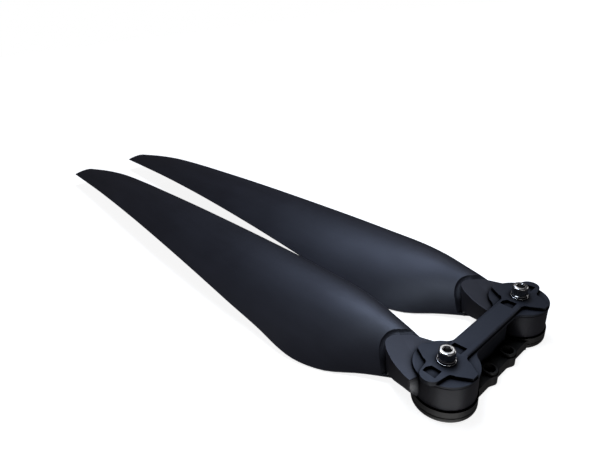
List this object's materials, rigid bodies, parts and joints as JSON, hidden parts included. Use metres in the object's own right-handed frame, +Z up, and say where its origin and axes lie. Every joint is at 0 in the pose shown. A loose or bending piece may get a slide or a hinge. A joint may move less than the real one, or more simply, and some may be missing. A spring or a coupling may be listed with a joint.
{
  "type": "folding propeller",
  "caption": "Folding propeller for a large multirotor: long twisted blades swing on screw pivots held between an upper and a lower hub clamp that bolts to the motor.",
  "frame": {"origin": "motor axis, on the bottom face of the hub that sits on the motor", "axes": "+Z up along the motor axis, X along the hub through both blade pivots, +Y the way the folded blades point"},
  "size_m": [0.1586, 0.6628, 0.0393],
  "materials": {
    "hub_upper": "fine matt moulded, fibre filled nylon",
    "hub_lower": "matt moulded, darker than the upper clamp",
    "blade": "satin moulded, fibre filled nylon with a cool sheen",
    "steel": "bright stainless steel",
    "black_steel": "black oxide",
    "brass": "turned",
    "bronze": "sintered bronze",
    "slip_washer": "smooth slip plastic"
  },
  "bodies": {
    "hub": {"upper_clamp": "hub_upper", "lower_clamp": "hub_lower", "clamp_screws": "black_steel", "clamp_inserts": "brass", "left_pivot_screw": "steel", "left_spring_washer": "steel", "left_flat_washer": "steel", "left_upper_friction_washer": "slip_washer", "left_lower_friction_washer": "slip_washer", "left_lock_nut": "steel", "left_end_cap": "hub_lower", "right_pivot_screw": "steel", "right_spring_washer": "steel", "right_flat_washer": "steel", "right_upper_friction_washer": "slip_washer", "right_lower_friction_washer": "slip_washer", "right_lock_nut": "steel", "right_end_cap": "hub_lower"},
    "left_blade": {"left_blade": "blade", "left_bush": "bronze"},
    "right_blade": {"right_blade": "blade", "right_bush": "bronze"}
  },
  "joints": [
    {"name": "left_fold", "type": "hinge", "parent": "hub", "child": "left_blade", "pos_m": [-0.0435, 0, 0.018], "axis": [0, 0, 1], "range_deg": [0, 180]},
    {"name": "right_fold", "type": "hinge", "parent": "hub", "child": "right_blade", "pos_m": [0.0435, 0, 0.018], "axis": [0, 0, -1], "range_deg": [0, 180]}
  ]
}
